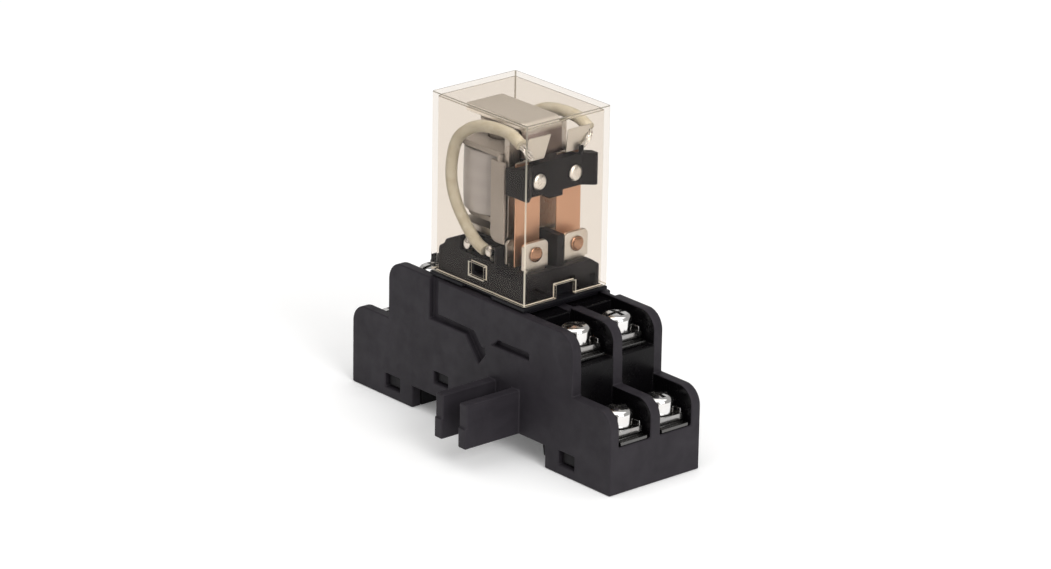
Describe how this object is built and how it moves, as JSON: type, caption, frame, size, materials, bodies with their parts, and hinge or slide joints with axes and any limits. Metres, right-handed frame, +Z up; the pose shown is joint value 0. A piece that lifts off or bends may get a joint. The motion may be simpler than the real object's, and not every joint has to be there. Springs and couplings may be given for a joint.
{
  "type": "plug-in power relay in a screw-terminal socket",
  "caption": "Plug-in relay with clear cover, magnet, sprung contacts and flexible leads, seated in a stepped black rail socket with screw terminals and side mounting forks.",
  "frame": {"origin": "middle of the socket's underside", "axes": "+X along the socket towards the end with the contact terminals (the relay's contacts face it), +Y across the socket towards pole b, +Z up from the rail to the relay's top"},
  "size_m": [0.077, 0.0496, 0.0663],
  "materials": {
    "socket_plastic": "matte black moulded plastic",
    "relay_plastic": "satin black moulded plastic",
    "clear_cover": "clear, faintly smoky polycarbonate",
    "white_plastic": "off-white moulded plastic",
    "winding_tape": "greyish white tape over the winding",
    "lead_sleeve": "off-white woven sleeve",
    "nickel": "bright nickel plate",
    "tinned": "silvery tin plate, slightly warm",
    "magnet_steel": "plated soft iron",
    "armature_steel": "brownish grey plated iron",
    "spring_steel": "bright spring wire",
    "copper": "copper alloy spring sheet",
    "contact_silver": "silver alloy contact",
    "contact_copper": "copper-backed contact rivet"
  },
  "bodies": {
    "socket": {"socket_housing": "socket_plastic", "socket_base_plate": "socket_plastic", "rail_latch_spring": "spring_steel", "terminal_strip_no_a": "nickel", "terminal_strip_nc_a": "nickel", "terminal_strip_com_a": "nickel", "terminal_strip_coil_a": "nickel", "terminal_strip_no_b": "nickel", "terminal_strip_nc_b": "nickel", "terminal_strip_com_b": "nickel", "terminal_strip_coil_b": "nickel"},
    "rail_latch": {"rail_latch": "socket_plastic"},
    "relay": {"relay_base": "relay_plastic", "coil_bobbin": "white_plastic", "coil_winding": "winding_tape", "coil_core": "magnet_steel", "yoke": "magnet_steel", "return_spring": "spring_steel", "no_blade_a": "tinned", "nc_blade_a": "tinned", "com_blade_a": "tinned", "coil_blade_a": "tinned", "no_blade_b": "tinned", "nc_blade_b": "tinned", "com_blade_b": "tinned", "coil_blade_b": "tinned", "no_contact_a": "contact_copper", "nc_contact_a": "contact_silver", "flexible_lead_a": "lead_sleeve", "no_contact_b": "contact_copper", "nc_contact_b": "contact_silver", "flexible_lead_b": "lead_sleeve"},
    "cover": {"relay_cover": "clear_cover"},
    "armature": {"armature": "armature_steel", "contact_card": "relay_plastic", "card_rivet_a": "nickel", "moving_spring_a": "copper", "moving_contact_a": "contact_silver", "card_rivet_b": "nickel", "moving_spring_b": "copper", "moving_contact_b": "contact_silver"},
    "clamp_no_a": {"clamp_washer_no_a": "nickel"},
    "screw_no_a": {"terminal_screw_no_a": "nickel"},
    "clamp_nc_a": {"clamp_washer_nc_a": "nickel"},
    "screw_nc_a": {"terminal_screw_nc_a": "nickel"},
    "clamp_com_a": {"clamp_washer_com_a": "nickel"},
    "screw_com_a": {"terminal_screw_com_a": "nickel"},
    "clamp_coil_a": {"clamp_washer_coil_a": "nickel"},
    "screw_coil_a": {"terminal_screw_coil_a": "nickel"},
    "clamp_no_b": {"clamp_washer_no_b": "nickel"},
    "screw_no_b": {"terminal_screw_no_b": "nickel"},
    "clamp_nc_b": {"clamp_washer_nc_b": "nickel"},
    "screw_nc_b": {"terminal_screw_nc_b": "nickel"},
    "clamp_com_b": {"clamp_washer_com_b": "nickel"},
    "screw_com_b": {"terminal_screw_com_b": "nickel"},
    "clamp_coil_b": {"clamp_washer_coil_b": "nickel"},
    "screw_coil_b": {"terminal_screw_coil_b": "nickel"}
  },
  "joints": [
    {"name": "relay_plug", "type": "slide", "parent": "socket", "child": "relay", "axis": [0, 0, 1], "range_m": [0, 0.012]},
    {"name": "cover_lift", "type": "slide", "parent": "relay", "child": "cover", "axis": [0, 0, 1], "range_m": [0, 0.038]},
    {"name": "armature_hinge", "type": "hinge", "parent": "relay", "child": "armature", "pos_m": [0.0034, 0, 0.0619], "axis": [0, 1, 0], "range_deg": [-2.1, 0], "stiffness_Nm_per_rad": 0.25, "springref_deg": 4.58, "deforming": ["return_spring"]},
    {"name": "latch_slide", "type": "slide", "parent": "socket", "child": "rail_latch", "axis": [-1, 0, 0], "range_m": [0, 0.0025], "stiffness_N_per_m": 1500, "springref_m": -0.001, "deforming": ["rail_latch_spring"]},
    {"name": "clamp_no_a_lift", "type": "slide", "parent": "socket", "child": "clamp_no_a", "axis": [0, 0, 1], "range_m": [0, 0.0024]},
    {"name": "screw_no_a_turn", "type": "hinge", "parent": "clamp_no_a", "child": "screw_no_a", "pos_m": [0.021, -0.0052, 0.0244], "axis": [0, 0, 1], "range_deg": [0, 1441]},
    {"name": "clamp_nc_a_lift", "type": "slide", "parent": "socket", "child": "clamp_nc_a", "axis": [0, 0, 1], "range_m": [0, 0.0024]},
    {"name": "screw_nc_a_turn", "type": "hinge", "parent": "clamp_nc_a", "child": "screw_nc_a", "pos_m": [0.0333, -0.0052, 0.0114], "axis": [0, 0, 1], "range_deg": [0, 1441]},
    {"name": "clamp_com_a_lift", "type": "slide", "parent": "socket", "child": "clamp_com_a", "axis": [0, 0, 1], "range_m": [0, 0.0024]},
    {"name": "screw_com_a_turn", "type": "hinge", "parent": "clamp_com_a", "child": "screw_com_a", "pos_m": [-0.0333, -0.0052, 0.0114], "axis": [0, 0, 1], "range_deg": [0, 1441]},
    {"name": "clamp_coil_a_lift", "type": "slide", "parent": "socket", "child": "clamp_coil_a", "axis": [0, 0, 1], "range_m": [0, 0.0024]},
    {"name": "screw_coil_a_turn", "type": "hinge", "parent": "clamp_coil_a", "child": "screw_coil_a", "pos_m": [-0.021, -0.0052, 0.0244], "axis": [0, 0, 1], "range_deg": [0, 1441]},
    {"name": "clamp_no_b_lift", "type": "slide", "parent": "socket", "child": "clamp_no_b", "axis": [0, 0, 1], "range_m": [0, 0.0024]},
    {"name": "screw_no_b_turn", "type": "hinge", "parent": "clamp_no_b", "child": "screw_no_b", "pos_m": [0.021, 0.0052, 0.0244], "axis": [0, 0, 1], "range_deg": [0, 1441]},
    {"name": "clamp_nc_b_lift", "type": "slide", "parent": "socket", "child": "clamp_nc_b", "axis": [0, 0, 1], "range_m": [0, 0.0024]},
    {"name": "screw_nc_b_turn", "type": "hinge", "parent": "clamp_nc_b", "child": "screw_nc_b", "pos_m": [0.0333, 0.0052, 0.0114], "axis": [0, 0, 1], "range_deg": [0, 1441]},
    {"name": "clamp_com_b_lift", "type": "slide", "parent": "socket", "child": "clamp_com_b", "axis": [0, 0, 1], "range_m": [0, 0.0024]},
    {"name": "screw_com_b_turn", "type": "hinge", "parent": "clamp_com_b", "child": "screw_com_b", "pos_m": [-0.0333, 0.0052, 0.0114], "axis": [0, 0, 1], "range_deg": [0, 1441]},
    {"name": "clamp_coil_b_lift", "type": "slide", "parent": "socket", "child": "clamp_coil_b", "axis": [0, 0, 1], "range_m": [0, 0.0024]},
    {"name": "screw_coil_b_turn", "type": "hinge", "parent": "clamp_coil_b", "child": "screw_coil_b", "pos_m": [-0.021, 0.0052, 0.0244], "axis": [0, 0, 1], "range_deg": [0, 1441]}
  ],
  "couplings": [
    {"joint": "screw_no_a_turn", "follows": "clamp_no_a_lift", "rad_per_m": 10472},
    {"joint": "screw_nc_a_turn", "follows": "clamp_nc_a_lift", "rad_per_m": 10472},
    {"joint": "screw_com_a_turn", "follows": "clamp_com_a_lift", "rad_per_m": 10472},
    {"joint": "screw_coil_a_turn", "follows": "clamp_coil_a_lift", "rad_per_m": 10472},
    {"joint": "screw_no_b_turn", "follows": "clamp_no_b_lift", "rad_per_m": 10472},
    {"joint": "screw_nc_b_turn", "follows": "clamp_nc_b_lift", "rad_per_m": 10472},
    {"joint": "screw_com_b_turn", "follows": "clamp_com_b_lift", "rad_per_m": 10472},
    {"joint": "screw_coil_b_turn", "follows": "clamp_coil_b_lift", "rad_per_m": 10472}
  ]
}
